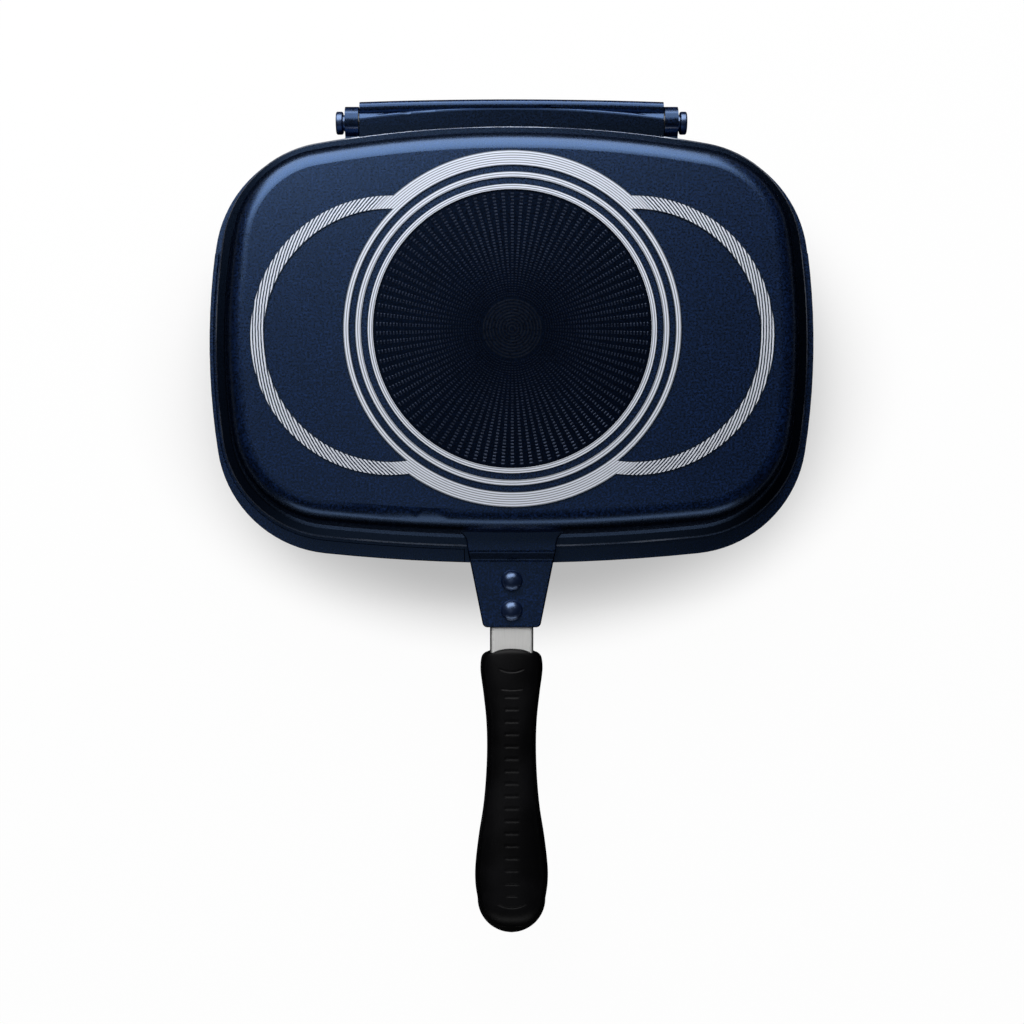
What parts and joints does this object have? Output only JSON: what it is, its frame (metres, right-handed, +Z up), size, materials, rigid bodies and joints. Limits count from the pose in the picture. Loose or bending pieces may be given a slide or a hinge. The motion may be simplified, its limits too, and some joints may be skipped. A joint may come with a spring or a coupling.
{
  "type": "double sided flip pan",
  "caption": "Rectangular double sided pan: two rimmed cast pans hinged at the back that close on a seal, with a half-round handle on each.",
  "frame": {"origin": "centre of the lower pan's contact rings, on the surface that it stands on", "axes": "+Z up, +Y towards the hinge at the back, -Y towards the handles, X along the hinge"},
  "size_m": [0.3608, 0.4969, 0.08],
  "materials": {
    "pan_coat": "cast, with a dark blue non-stick coat with fine flecks, contact rings bare",
    "seal": "black silicone",
    "rod_steel": "ground",
    "washer": "plain",
    "cap_paint": "painted dark blue",
    "strap_steel": "plain",
    "rivet_paint": "painted dark blue",
    "ferrule_steel": "brushed lengthways",
    "grip_plastic": "black, slightly glossy",
    "screw_steel": "zinc plated",
    "cup_steel": "pressed",
    "magnet": "nickel plated"
  },
  "bodies": {
    "lower_body": {"lower_pan": "pan_coat", "rim_seal": "seal", "hinge_rod": "rod_steel", "hinge_washers": "washer", "hinge_cap_left": "cap_paint", "hinge_cap_right": "cap_paint", "lower_handle_strap": "strap_steel", "lower_handle_rivets": "rivet_paint", "lower_ferrule": "ferrule_steel", "lower_grip": "grip_plastic", "lower_grip_screws": "screw_steel", "lower_magnet_cup": "cup_steel", "lower_magnet": "magnet"},
    "upper_body": {"upper_pan": "pan_coat", "upper_handle_strap": "strap_steel", "upper_handle_rivets": "rivet_paint", "upper_ferrule": "ferrule_steel", "upper_grip": "grip_plastic", "upper_grip_screws": "screw_steel", "upper_magnet_cup": "cup_steel", "upper_magnet": "magnet"}
  },
  "joints": [
    {"name": "lid_hinge", "type": "hinge", "parent": "lower_body", "child": "upper_body", "pos_m": [0, 0.1291, 0.04], "axis": [-1, 0, 0], "range_deg": [0, 180]}
  ]
}
